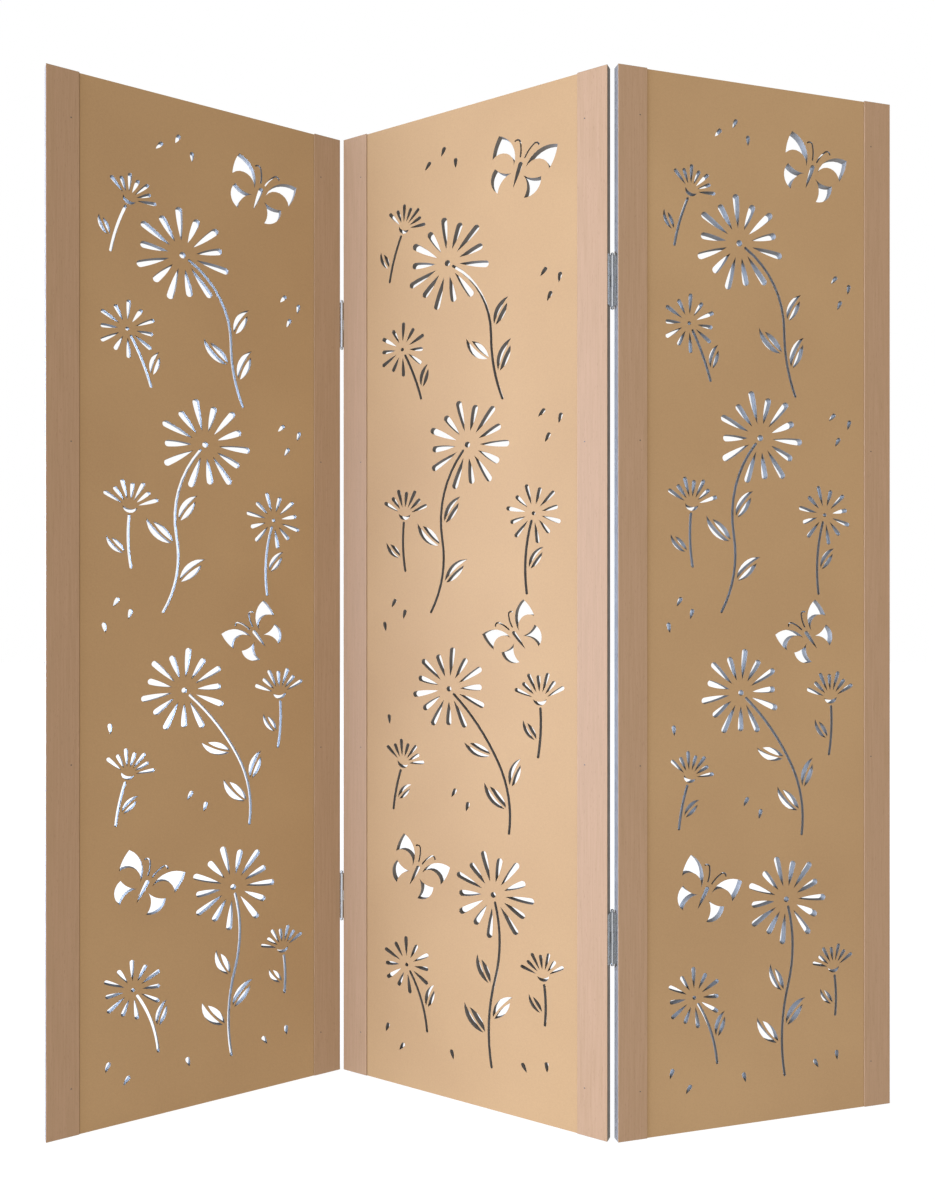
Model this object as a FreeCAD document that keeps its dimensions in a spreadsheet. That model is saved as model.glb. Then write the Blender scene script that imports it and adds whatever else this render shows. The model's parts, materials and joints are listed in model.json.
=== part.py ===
import FreeCAD, Part
import math
import os

# Folding screen: three pierced panels that stand in a zigzag on butt hinges.
# Millimetres, X to the right, Y away from the viewer, Z up, the floor at Z 0,
# and the origin under the middle of the standing screen.

doc = FreeCAD.newDocument("folding_screen")
sheet = doc.addObject("Spreadsheet::Sheet", "Dims")

# Driving dimensions: name, value, meaning.
driving = [
    ("panel_height", 1700, "height of every panel"),
    ("panel_width", 500, "width of every panel over its stiles"),
    ("stile_width", 50, "face width of a stile"),
    ("stile_thickness", 15, "depth of a stile"),
    ("edge_round", 0.6, "round on the long edges of a stile"),
    ("board_thickness", 12, "thickness of the pierced board"),
    ("board_short", 1, "top of the board below the tops of its stiles"),
    ("shoulder_gap", 0.3, "gap between the board and the inner edge of a stile"),
    ("tongue_thickness", 5, "thickness of the tongues along the board's sides"),
    ("groove_depth", 20, "depth of the groove that holds a tongue"),
    ("groove_play", 0.1, "play of a tongue in its groove, each face"),
    ("tongue_gap", 1, "room behind a tongue in its groove"),
    ("middle_turn", 28.4, "degrees that the middle panel is turned from the X axis"),
    ("left_opening", 122.8, "degrees between the left and middle front faces"),
    ("right_opening", 137.7, "degrees between the middle and right rear faces"),
    ("hinge_length", 82, "length of the hinge leaves"),
    ("hinge_from_bottom", 318, "floor to the middle of a lower hinge"),
    ("hinge_from_top", 338, "panel top to the middle of an upper hinge"),
    ("leaf_thickness", 1.2, "sheet thickness of a hinge leaf"),
    ("leaf_cover", 13, "how far a leaf covers the edge of its stile"),
    ("leaf_round", 2, "round on the free corners of a leaf"),
    ("middle_knuckle", 18, "length of the middle knuckle"),
    ("knuckle_gap", 0.3, "gap between neighbouring knuckles"),
    ("notch_gap", 0.5, "room round a knuckle in the other leaf"),
    ("axle_diameter", 3.5, "diameter of the hinge pin"),
    ("axle_play", 0.05, "radial play of the hinge pin"),
    ("axle_offset", 1, "hinge axis out from the face of the panel"),
    ("tip_rim", 0.85, "overhang of the ball tips over the hinge pin"),
    ("tip_gap", 0.2, "gap from a ball tip to the knuckle"),
    ("screw_shank", 3, "shank diameter of a hinge screw"),
    ("screw_length", 16, "length of a hinge screw"),
    ("screw_point", 5, "length of its pointed end"),
    ("screw_pitch", 29, "spacing of the screws along a leaf"),
    ("screw_play", 0.05, "radial play of a screw in its holes"),
    ("slot_width", 0.7, "width of the cross slots in a screw head"),
    ("slot_length", 3.4, "length of the cross slots"),
    ("slot_depth", 0.9, "depth of the cross slots"),
    ("nail_diameter", 1.4, "shank diameter of a panel pin"),
    ("nail_head", 2.2, "head diameter of a panel pin"),
    ("nail_head_depth", 0.5, "thickness of its head"),
    ("nail_length", 11, "length of a panel pin"),
    ("nail_inset", 12.5, "panel pin from the inner edge of its stile"),
    ("nail_end", 76, "end panel pins from the ends of their stile"),
    ("nail_play", 0.05, "radial play of a panel pin"),
    ("stem_slit", 4.5, "width of the stems cut in a board"),
    ("feeler_slit", 2.6, "width of the butterfly feelers"),
    ("leaf_vein", 3.6, "bridge along the middle of a leaf"),
    ("leaf_stand", 8, "bridge between a stem and its leaves"),
    ("bloom_stand", 13, "end of a stem to the middle of its bloom"),
    ("drop_length", 17, "length of a seed drop"),
    ("drop_width", 7, "width of a seed drop"),
]
for row, (name, value, meaning) in enumerate(driving, start=1):
    sheet.set("A%d" % row, name)
    sheet.set("B%d" % row, str(value))
    sheet.setAlias("B%d" % row, name)
    sheet.set("C%d" % row, meaning)
doc.recompute()


def size(name):
    return float(sheet.get(name))


# Document helpers: primitives whose sizes and places are expressions on the sheet.

UP = FreeCAD.Vector(0, 0, 1)
UNTURNED = FreeCAD.Rotation()
ALONG_X = FreeCAD.Rotation(FreeCAD.Vector(0, 1, 0), 90)
ALONG_Y = FreeCAD.Rotation(FreeCAD.Vector(1, 0, 0), -90)
TURNED_ROUND = FreeCAD.Rotation(UP, 180)
CLOSE = 0.01  # tolerance when an edge is looked up by its place


def solid(kind, sizes, place=("0", "0", "0"), turn=UNTURNED):
    thing = doc.addObject("Part::" + kind, kind)
    thing.Placement = FreeCAD.Placement(FreeCAD.Vector(), turn)
    for prop, expression in sizes.items():
        thing.setExpression(prop, expression)
    for axis, expression in zip("xyz", place):
        thing.setExpression("Placement.Base." + axis, expression)
    return thing


def group(pieces):
    thing = doc.addObject("Part::Compound", "Group")
    thing.Links = pieces
    return thing


def fuse(pieces):
    thing = doc.addObject("Part::MultiFuse", "Fusion")
    thing.Shapes = pieces
    return thing


def cut(base, tools):
    thing = doc.addObject("Part::Cut", "Cut")
    thing.Base = base
    thing.Tool = tools[0] if len(tools) == 1 else group(tools)
    return thing


def shape_object(shape):
    thing = doc.addObject("Part::Feature", "Shape")
    thing.Shape = shape
    return thing


def copies(master, places):
    # One object with a copy of the master at every place.
    doc.recompute()
    made = []
    for place in places:
        copy = master.Shape.copy()
        copy.Placement = place.multiply(master.Shape.Placement)
        made.append(copy)
    return shape_object(Part.makeCompound(made))


def rounded(base, radius, wanted):
    # Fillet on those edges whose middle point is wanted.
    doc.recompute()
    thing = doc.addObject("Part::Fillet", "Fillet")
    thing.Base = base
    chosen = []
    for number, edge in enumerate(base.Shape.Edges, start=1):
        if wanted(edge.CenterOfMass):
            chosen.append((number, radius, radius))
    thing.Edges = chosen
    return thing


nodes = {}


def keep(label, thing, place):
    # A finished piece: its file name and its place in the screen.
    thing.Label = label
    thing.Placement = place
    nodes[label] = thing


# Plan of the standing screen.
# A panel's own frame starts at its lower left front corner, with X along the panel.

height = size("panel_height")
width = size("panel_width")
thick = size("stile_thickness")
barrel = size("axle_diameter") + 2 * size("axle_play") + 2 * size("leaf_thickness")
BARREL = "(Dims.axle_diameter + 2 * Dims.axle_play + 2 * Dims.leaf_thickness)"
out = size("axle_offset")

middle_angle = -size("middle_turn")
angles = {
    "left": middle_angle + 180 - size("left_opening"),
    "middle": middle_angle,
    "right": middle_angle + 180 - size("right_opening"),
}
turns = {panel: FreeCAD.Rotation(UP, angle) for panel, angle in angles.items()}


def plan(panel, x, y):
    return turns[panel].multVec(FreeCAD.Vector(x, y, 0))


# The left joint folds on the front faces and the right joint on the rear faces.
front_axis = plan("middle", -barrel / 2, -out)
rear_axis = plan("middle", width + barrel / 2, thick + out)
corners = {
    "left": front_axis - plan("left", width + barrel / 2, -out),
    "middle": FreeCAD.Vector(),
    "right": rear_axis - plan("right", -barrel / 2, thick + out),
}

# The plan box over the rounded panel corners, moved to be centred on the origin.
rim = size("edge_round")
box = FreeCAD.BoundBox()
for panel, corner in corners.items():
    for x in (rim, width - rim):
        for y in (rim, thick - rim):
            box.add(corner + plan(panel, x, y))
centre = FreeCAD.Vector(box.Center.x, box.Center.y, 0)
front_axis = front_axis - centre
rear_axis = rear_axis - centre
panel_places = {
    panel: FreeCAD.Placement(corner - centre, turns[panel]) for panel, corner in corners.items()
}

hinge_levels = {
    "lower": size("hinge_from_bottom"),
    "upper": height - size("hinge_from_top"),
}
screw_steps = [step * size("screw_pitch") for step in (-1, 0, 1)]
nail_count = 4
nail_pitch = (height - 2 * size("nail_end")) / (nail_count - 1)
nail_levels = [size("nail_end") + number * nail_pitch for number in range(nail_count)]

# Fasteners and their holes, made once along their own axes.

head_drop = "Dims.leaf_thickness"
shank = "Dims.screw_shank / 2"
screw_body = fuse([
    solid("Cone", {"Radius1": shank + " + " + head_drop, "Radius2": shank, "Height": head_drop},
          turn=ALONG_X),
    solid("Cylinder", {"Radius": shank, "Height": "Dims.screw_length - Dims.screw_point"}, turn=ALONG_X),
    solid("Cone", {"Radius1": shank, "Radius2": "0", "Height": "Dims.screw_point"},
          ("Dims.screw_length - Dims.screw_point", "0", "0"), ALONG_X),
])
slot_upright = solid(
    "Box", {"Length": "Dims.slot_depth", "Width": "Dims.slot_width", "Height": "Dims.slot_length"},
    ("0", "-Dims.slot_width / 2", "-Dims.slot_length / 2"))
slot_level = solid(
    "Box", {"Length": "Dims.slot_depth", "Width": "Dims.slot_length", "Height": "Dims.slot_width"},
    ("0", "-Dims.slot_length / 2", "-Dims.slot_width / 2"))
screw = cut(screw_body, [fuse([slot_upright, slot_level])])
countersink = solid(
    "Cone", {"Radius1": shank + " + Dims.leaf_thickness + Dims.screw_play",
             "Radius2": shank + " + Dims.screw_play", "Height": head_drop}, turn=ALONG_X)
pilot_hole = solid(
    "Cylinder", {"Radius": shank + " + Dims.screw_play", "Height": "Dims.screw_length"}, turn=ALONG_X)

nail = fuse([
    solid("Cylinder", {"Radius": "Dims.nail_diameter / 2", "Height": "Dims.nail_length"}, turn=ALONG_Y),
    solid("Cylinder", {"Radius": "Dims.nail_head / 2", "Height": "Dims.nail_head_depth"}, turn=ALONG_Y),
])
nail_hole = fuse([
    solid("Cylinder", {"Radius": "Dims.nail_diameter / 2 + Dims.nail_play",
                       "Height": "Dims.nail_length + Dims.nail_play"}, turn=ALONG_Y),
    solid("Cylinder", {"Radius": "Dims.nail_head / 2 + Dims.nail_play",
                       "Height": "Dims.nail_head_depth"}, turn=ALONG_Y),
])
nail_lines = {
    "left": size("stile_width") - size("nail_inset"),
    "right": width - size("stile_width") + size("nail_inset"),
}
nail_places = {
    side: [FreeCAD.Placement(FreeCAD.Vector(x, 0, level), UNTURNED) for level in nail_levels]
    for side, x in nail_lines.items()
}

# Stiles. Those beside a joint have pilot holes for the hinge screws.

groove_width = "(Dims.tongue_thickness + 2 * Dims.groove_play)"
hinge_edges = {
    "left": (0, UNTURNED),
    "right": (width, TURNED_ROUND),
}


def stile(side, hinged):
    starts = {"left": "0", "right": "Dims.panel_width - Dims.stile_width"}
    grooves = {
        "left": "Dims.stile_width - Dims.groove_depth",
        "right": "Dims.panel_width - Dims.stile_width",
    }
    blank = solid("Box", {"Length": "Dims.stile_width", "Width": "Dims.stile_thickness",
                          "Height": "Dims.panel_height"}, (starts[side], "0", "0"))
    groove = solid("Box", {"Length": "Dims.groove_depth", "Width": groove_width,
                           "Height": "Dims.panel_height"},
                   (grooves[side], "(Dims.stile_thickness - %s) / 2" % groove_width, "0"))
    strip = cut(blank, [groove])

    def long_edge(point):
        on_face = abs(point.y) < CLOSE or abs(point.y - thick) < CLOSE
        return on_face and abs(point.z - height / 2) < CLOSE

    holes = [copies(nail_hole, nail_places[side])]
    if hinged:
        edge_x, direction = hinge_edges[side]
        spots = [
            FreeCAD.Placement(FreeCAD.Vector(edge_x, thick / 2, level + step), direction)
            for level in hinge_levels.values()
            for step in screw_steps
        ]
        holes.append(copies(pilot_hole, spots))
    return cut(rounded(strip, rim, long_edge), holes)


joint_sides = {"left": ["right"], "middle": ["left", "right"], "right": ["left"]}
for panel, place in panel_places.items():
    for side in ("left", "right"):
        keep("stile_%s_%s" % (panel, side), stile(side, side in joint_sides[panel]), place)
        keep("nails_%s_%s" % (panel, side), copies(nail, nail_places[side]), place)

# Openings of the pierced board, drawn in its own plane.
# Headings are degrees from the X axis, and a bulge is to the left of its direction.


def step_from(start, heading, ahead, left=0.0):
    angle = math.radians(heading)
    x = start.x + ahead * math.cos(angle) - left * math.sin(angle)
    z = start.z + ahead * math.sin(angle) + left * math.cos(angle)
    return FreeCAD.Vector(x, 0, z)


def bow(start, end, bulge):
    chord = end - start
    left = FreeCAD.Vector(-chord.z, 0, chord.x).normalize()
    return Part.Arc(start, (start + end) * 0.5 + left * bulge, end).toShape()


def arc(first, middle, last):
    return Part.Arc(first, middle, last).toShape()


def opening(edges):
    return Part.Face(Part.Wire(edges))


def dot(middle, radius):
    return opening([Part.makeCircle(radius, middle, FreeCAD.Vector(0, 1, 0))])


def petal(hub, heading, inner, outer, breadth):
    # Pointed towards the hub, round at the far end, with sides that run into the round.
    half = breadth / 2
    tip = step_from(hub, heading, inner)
    right = step_from(hub, heading, outer - half, -half)
    left = step_from(hub, heading, outer - half, half)
    side_bulge = -breadth / 8
    crown = arc(right, step_from(hub, heading, outer), left)
    return opening([bow(tip, right, side_bulge), crown, bow(left, tip, side_bulge)])


def crescent(start, end, outer, inner):
    return opening([bow(start, end, outer), bow(end, start, -inner)])


# Shares of a leaf's length: bulge of both lobes, bend of the vein, length of the right lobe.
left_lobe = 0.22
right_lobe = -0.12
vein_bend = 0.05
right_length = 0.8


def leaf(base, heading, length):
    # Two lobes along a bent vein, the right one shorter.
    made = []
    for side, share, lobe in ((1, 1, left_lobe), (-1, right_length, right_lobe)):
        aside = side * size("leaf_vein") / 2
        lobe_base = step_from(base, heading, 0, aside)
        lobe_tip = step_from(base, heading, share * length, aside)
        made.append(crescent(lobe_base, lobe_tip, lobe * length, vein_bend * length))
    return made


def walk(start, heading, bends, distance):
    # Point and heading after a distance along the bends, each a length and a turn.
    for length, turn in bends:
        part = min(distance, length)
        if part <= 0:
            break
        half_turn = math.radians(turn * part / length) / 2
        chord = part * math.sin(half_turn) / half_turn
        start = step_from(start, heading + math.degrees(half_turn), chord)
        heading = heading + math.degrees(2 * half_turn)
        distance = distance - part
    return start, heading


def slit(foot, heading, bends, breadth):
    # A cut of even breadth along the bends, with round ends.
    half = breadth / 2
    right_side = []
    left_side = []
    travelled = 0.0
    for length, turn in bends:
        stops = [walk(foot, heading, bends, travelled + share * length) for share in (0, 0.5, 1)]
        right = [step_from(point, course, 0, -half) for point, course in stops]
        left = [step_from(point, course, 0, half) for point, course in stops]
        right_side.append(arc(right[0], right[1], right[2]))
        left_side.insert(0, arc(left[2], left[1], left[0]))
        travelled = travelled + length
    end, course = walk(foot, heading, bends, travelled)
    end_cap = arc(right[2], step_from(end, course, half), left[2])
    foot_cap = arc(step_from(foot, heading, 0, half), step_from(foot, heading, -half),
                   step_from(foot, heading, 0, -half))
    return opening(right_side + [end_cap] + left_side + [foot_cap])


# Shares of a bloom's radius.
petal_start = 0.3
petal_breadth = 0.14
short_petal = 0.87
eye_radius = 0.065
cup_half = 0.25
cup_ahead = 0.05
cup_depth = -0.22
cup_hollow = -0.09


def bloom(hub, heading, radius, petals, fan):
    # Long and short petals by turns over the fan, round a pierced eye or above a cup.
    made = []
    for number in range(petals):
        direction = heading + fan * (number / (petals - 1) - 0.5)
        petal_reach = radius * (short_petal if number % 2 else 1)
        made.append(petal(hub, direction, petal_start * radius, petal_reach, petal_breadth * radius))
    if fan > 180:
        made.append(dot(hub, eye_radius * radius))
    else:
        cup_left = step_from(hub, heading, cup_ahead * radius, cup_half * radius)
        cup_right = step_from(hub, heading, cup_ahead * radius, -cup_half * radius)
        made.append(crescent(cup_left, cup_right, cup_depth * radius, cup_hollow * radius))
    return made


leaf_lean = 38  # degrees between a leaf and its stem


def plant(foot, heading, bends, radius, petals, fan, leaves):
    made = [slit(foot, heading, bends, size("stem_slit"))]
    total = sum(length for length, turn in bends)
    for share, side, length in leaves:
        point, course = walk(foot, heading, bends, share * total)
        base = step_from(point, course, 0, side * size("leaf_stand"))
        made.extend(leaf(base, course + side * leaf_lean, length))
    end, course = walk(foot, heading, bends, total)
    hub = step_from(end, course, size("bloom_stand"))
    return made + bloom(hub, course, radius, petals, fan)


# A butterfly in shares of its span, with places as ahead and aside of its middle.
# A wing has three corners and the bulge of the side after each, hollow where it is negative.
body_tail = -0.2
body_length = 0.34
body_breadth = 0.06
wings = [
    ([(0.08, 0.09), (0.42, 0.44), (0.11, 0.43)], (0.1, 0.02, -0.12)),
    ([(-0.02, 0.09), (0.0, 0.35), (-0.3, 0.2)], (-0.03, 0.08, -0.05)),
]
feeler_root = (0.2, 0.035)
feeler_lean = 8
feeler_bends = [(0.2, 25), (0.09, 120)]


def butterfly(middle, heading, span):
    tail = step_from(middle, heading, body_tail * span)
    made = [petal(tail, heading, 0, body_length * span, body_breadth * span)]
    for side in (1, -1):
        def spot(place):
            return step_from(middle, heading, place[0] * span, side * place[1] * span)

        for places, bulges in wings:
            rim_points = [spot(place) for place in places + places[:1]]
            sides = zip(rim_points, rim_points[1:], bulges)
            made.append(opening([bow(start, end, -side * bulge * span) for start, end, bulge in sides]))
        bends = [(share * span, side * turn) for share, turn in feeler_bends]
        made.append(slit(spot(feeler_root), heading + side * feeler_lean, bends, size("feeler_slit")))
    return made


# The design: feet and middles are shares of the clear board, lengths are millimetres.

field_width = width - 2 * size("stile_width")


def at(share_x, share_z):
    return FreeCAD.Vector(size("stile_width") + share_x * field_width, 0, share_z * height)


# Fans of the petals, in degrees, with their number of petals.
daisy = (13, 318)
small_daisy = (11, 310)
side_bloom = (7, 130)

# Foot, heading, bends, radius, kind of bloom, and leaves: share of the stem, side, length.
plants = [
    (at(0.62, 0.042), 100, [(150, -25), (130, 30)], 74, daisy, [(0.2, 1, 58), (0.3, -1, 54), (0.5, 1, 50)]),
    (at(0.31, 0.062), 95, [(105, 28)], 50, small_daisy, [(0.4, -1, 42)]),
    (at(0.86, 0.095), 84, [(65, 14)], 42, side_bloom, [(0.3, 1, 34)]),
    (at(0.7, 0.275), 82, [(120, 35), (140, 20)], 72, daisy, [(0.16, 1, 56), (0.3, -1, 50), (0.53, 1, 52)]),
    (at(0.83, 0.352), 80, [(80, 14)], 48, side_bloom, [(0.35, 1, 38)]),
    (at(0.14, 0.287), 84, [(70, -12)], 44, side_bloom, [(0.3, -1, 36)]),
    (at(0.33, 0.492), 60, [(130, 40), (160, -50)], 78, daisy, [(0.2, -1, 56), (0.42, 1, 58), (0.55, -1, 52)]),
    (at(0.78, 0.51), 98, [(120, -24)], 50, small_daisy, [(0.35, -1, 42)]),
    (at(0.2, 0.535), 100, [(85, -16)], 48, side_bloom, [(0.3, 1, 38)]),
    (at(0.67, 0.702), 112, [(110, -22), (155, 58)], 80, daisy,
     [(0.18, -1, 56), (0.28, 1, 56), (0.48, -1, 50)]),
    (at(0.28, 0.712), 106, [(85, 12)], 48, small_daisy, [(0.22, -1, 40)]),
    (at(0.12, 0.838), 80, [(80, -14)], 44, side_bloom, [(0.3, 1, 34)]),
]
butterflies = [
    (at(0.25, 0.222), 62, 118),
    (at(0.74, 0.466), 128, 108),
    (at(0.74, 0.92), 70, 126),
]
drops = [
    (at(0.1, 0.052), 70),
    (at(0.17, 0.036), 55),
    (at(0.44, 0.04), 105),
    (at(0.78, 0.045), 120),
    (at(0.87, 0.05), 95),
    (at(0.5, 0.292), 75),
    (at(0.43, 0.305), 60),
    (at(0.12, 0.375), 95),
    (at(0.1, 0.472), 100),
    (at(0.19, 0.485), 75),
    (at(0.13, 0.497), 60),
    (at(0.86, 0.655), 60),
    (at(0.92, 0.672), 75),
    (at(0.83, 0.68), 45),
    (at(0.87, 0.79), 65),
    (at(0.92, 0.806), 80),
    (at(0.84, 0.815), 50),
    (at(0.3, 0.945), 50),
    (at(0.38, 0.955), 65),
    (at(0.45, 0.94), 90),
]
faces = []
for foot, heading, bends, radius, (petals, fan), leaves in plants:
    faces.extend(plant(foot, heading, bends, radius, petals, fan, leaves))
for middle, heading, span in butterflies:
    faces.extend(butterfly(middle, heading, span))
for base, heading in drops:
    faces.append(petal(base, heading, 0, size("drop_length"), size("drop_width")))

openings = doc.addObject("Part::Extrusion", "Openings")
openings.Base = shape_object(Part.makeCompound(faces))
openings.DirMode = "Custom"
openings.Dir = FreeCAD.Vector(0, 1, 0)
openings.Solid = True
openings.setExpression("LengthFwd", "Dims.stile_thickness")

# Boards, each rebated to tongues along its sides, which the grooves hold.

tongue = "(Dims.groove_depth - Dims.tongue_gap)"


def slab(thickness, beyond):
    # Across the clear width between the stiles, and beyond it on both sides.
    return solid(
        "Box", {"Length": "Dims.panel_width - 2 * Dims.stile_width + 2 * " + beyond,
                "Width": thickness, "Height": "Dims.panel_height - Dims.board_short"},
        ("Dims.stile_width - " + beyond, "(Dims.stile_thickness - %s) / 2" % thickness, "0"))


for panel, place in panel_places.items():
    blank = fuse([slab("Dims.board_thickness", "(-Dims.shoulder_gap)"), slab("Dims.tongue_thickness", tongue)])
    nail_holes = copies(nail_hole, nail_places["left"] + nail_places["right"])
    keep("board_" + panel, cut(blank, [openings, nail_holes]), place)

# Hinges. Their own frame has the axis on Z, with both leaves along +Y when the panels lie flat.

reach = size("axle_offset") + size("leaf_cover")
leaf_length = size("hinge_length")
screw_spot_x = barrel / 2 - size("leaf_thickness")
screw_spot_y = out + thick / 2
screw_places = [
    FreeCAD.Placement(FreeCAD.Vector(screw_spot_x, screw_spot_y, step), UNTURNED) for step in screw_steps
]
end_length = "((Dims.hinge_length - Dims.middle_knuckle) / 2 - Dims.knuckle_gap)"
knuckle_spans = {
    "low": (end_length, "-Dims.hinge_length / 2"),
    "middle": ("Dims.middle_knuckle", "-Dims.middle_knuckle / 2"),
    "high": (end_length, "Dims.hinge_length / 2 - " + end_length),
}


def hinge_leaf(own_knuckles):
    # The plate lies against its stile at +X, and is notched round the other leaf's knuckles.
    plate = solid("Box", {"Length": "Dims.leaf_thickness", "Width": "Dims.axle_offset + Dims.leaf_cover",
                          "Height": "Dims.hinge_length"},
                  (BARREL + " / 2 - Dims.leaf_thickness", "0", "-Dims.hinge_length / 2"))

    def free_corner(point):
        return abs(point.y - reach) < CLOSE and abs(abs(point.z) - leaf_length / 2) < CLOSE

    pieces = [rounded(plate, size("leaf_round"), free_corner)]
    tools = [copies(countersink, screw_places)]
    for name, (span, start) in knuckle_spans.items():
        if name in own_knuckles:
            pieces.append(solid("Cylinder", {"Radius": BARREL + " / 2", "Height": span}, ("0", "0", start)))
            tools.append(solid("Cylinder", {"Radius": "Dims.axle_diameter / 2 + Dims.axle_play",
                                            "Height": span}, ("0", "0", start)))
        else:
            tools.append(solid("Box", {"Length": BARREL, "Width": BARREL + " / 2 + Dims.notch_gap",
                                       "Height": span + " + 2 * Dims.knuckle_gap"},
                               ("0", "0", start + " - Dims.knuckle_gap")))
    return cut(fuse(pieces), tools)


def hinge_axle():
    # A ball stands off the knuckle by its gap where it meets the rim of the bore.
    bore_radius = "(Dims.axle_diameter / 2 + Dims.axle_play)"
    tip_radius = "(Dims.axle_diameter / 2 + Dims.tip_rim)"
    tip_height = "Dims.hinge_length / 2 + Dims.tip_gap + sqrt(%s^2 - %s^2)" % (tip_radius, bore_radius)
    return fuse([
        solid("Cylinder", {"Radius": "Dims.axle_diameter / 2", "Height": "2 * (%s)" % tip_height},
              ("0", "0", "-(%s)" % tip_height)),
        solid("Sphere", {"Radius": tip_radius}, ("0", "0", tip_height)),
        solid("Sphere", {"Radius": tip_radius}, ("0", "0", "-(%s)" % tip_height)),
    ])


# The leaf of an outer panel is turned over, so that it lies against its stile at -X.
turned_over = FreeCAD.Rotation(FreeCAD.Vector(0, 1, 0), 180)
joints = {
    "left": (front_axis, UNTURNED),
    "right": (rear_axis, TURNED_ROUND),
}
for joint, (axis, side_turn) in joints.items():
    for level, level_height in hinge_levels.items():
        spot = axis + UP * level_height
        middle_place = FreeCAD.Placement(spot, turns["middle"].multiply(side_turn))
        outer_place = FreeCAD.Placement(spot, turns[joint].multiply(side_turn).multiply(turned_over))
        hinge = "hinge_%s_%s_" % (joint, level)
        keep(hinge + "leaf_middle", hinge_leaf(["low", "high"]), middle_place)
        keep(hinge + "leaf_outer", hinge_leaf(["middle"]), outer_place)
        keep(hinge + "axle", hinge_axle(), middle_place)
        keep(hinge + "screws_middle", copies(screw, screw_places), middle_place)
        keep(hinge + "screws_outer", copies(screw, screw_places), outer_place)

# Every object must have been made, and every piece is a valid shape, before the files are written.

doc.recompute()
for thing in doc.Objects:
    if "Invalid" in thing.State or "Error" in thing.State:
        raise RuntimeError("%s was not made: %s" % (thing.Label, thing.State))
for label, thing in nodes.items():
    if thing.Shape.isNull() or not thing.Shape.isValid() or not thing.Shape.Solids:
        raise RuntimeError("%s is not a valid solid" % label)
os.makedirs("parts", exist_ok=True)
for label, thing in nodes.items():
    thing.Shape.exportStep("parts/%s.step" % label)
    print("%-34s %3d solid(s) %12.1f mm3" % (label, len(thing.Shape.Solids), thing.Shape.Volume))
print("hinge axes:", front_axis, rear_axis)
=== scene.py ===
import json
import math

import bmesh
import bpy
from mathutils import Matrix, Vector


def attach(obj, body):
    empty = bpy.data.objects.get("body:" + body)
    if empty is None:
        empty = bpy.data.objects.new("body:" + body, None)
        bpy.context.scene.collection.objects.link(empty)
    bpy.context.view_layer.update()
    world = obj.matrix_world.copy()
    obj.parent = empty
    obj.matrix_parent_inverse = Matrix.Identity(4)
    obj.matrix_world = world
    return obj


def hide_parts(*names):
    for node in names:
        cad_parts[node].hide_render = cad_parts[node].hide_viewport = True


# Folding screen of three pierced panels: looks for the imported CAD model.
# Metres, in the CAD frame: X to the right, Y away from the viewer, Z up.

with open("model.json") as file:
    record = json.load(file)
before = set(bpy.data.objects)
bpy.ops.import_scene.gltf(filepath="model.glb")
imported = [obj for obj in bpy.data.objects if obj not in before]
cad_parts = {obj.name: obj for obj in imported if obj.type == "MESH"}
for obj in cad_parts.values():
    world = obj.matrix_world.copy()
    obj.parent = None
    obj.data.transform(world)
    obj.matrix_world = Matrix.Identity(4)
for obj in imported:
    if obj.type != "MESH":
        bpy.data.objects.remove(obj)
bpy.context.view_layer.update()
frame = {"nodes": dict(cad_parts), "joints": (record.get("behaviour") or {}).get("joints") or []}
mm = 0.001


# Materials

def linear(hexColour):
    # sRGB hex to the linear colour that a shader takes
    shares = [int(hexColour[i:i + 2], 16) / 255 for i in (0, 2, 4)]
    return [s / 12.92 if s <= 0.04045 else ((s + 0.055) / 1.055) ** 2.4 for s in shares] + [1]


def addNode(tree, kind, settings=None, inputs=None):
    # inputs holds plain values and the sockets to link from, by socket name or number
    # a Mix node has its share at 0, its numbers at 2 and 3, and its colours at 6 and 7
    node = tree.nodes.new(kind)
    for name, value in (settings or {}).items():
        setattr(node, name, value)
    for socket, value in (inputs or {}).items():
        if isinstance(value, bpy.types.NodeSocket):
            tree.links.new(value, node.inputs[socket])
        else:
            node.inputs[socket].default_value = value
    return node


def startMaterial(name, **shader):
    material = bpy.data.materials.new(name)
    material.use_nodes = True
    tree = material.node_tree
    tree.nodes.clear()
    surface = addNode(tree, "ShaderNodeBsdfPrincipled", inputs=shader)
    addNode(tree, "ShaderNodeOutputMaterial", inputs={"Surface": surface.outputs[0]})
    spot = addNode(tree, "ShaderNodeTexCoord").outputs["Object"]
    return material, tree, surface, spot


def joinSurface(tree, surface, colour, gloss, bump):
    tree.links.new(colour.outputs[2], surface.inputs["Base Color"])
    tree.links.new(gloss.outputs[0], surface.inputs["Roughness"])
    tree.links.new(bump.outputs[0], surface.inputs["Normal"])


# most values of a noise texture lie between these
noiseLow = 0.3
noiseHigh = 0.7

# Smooth MDF under a thin tan lacquer: an even matt face with soft cloudy tone and faint fibre flecks.
fibreboard = {
    "light": "A88559",
    "dark": "9D7A50",
    "fleck": 2.5 * mm,  # real fibres are about 0.5 mm, too fine to show, so they are drawn coarser
    "cloud": 260 * mm,
    "fleckShare": 0.55,
    "toneSpan": (0.35, 0.65),  # noise values of the dark and the light colour
    "roughness": (0.66, 0.76),
    "peel": 1.6 * mm,  # ripple of the sprayed lacquer
    "peelHeight": 0.02 * mm,
}


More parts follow.
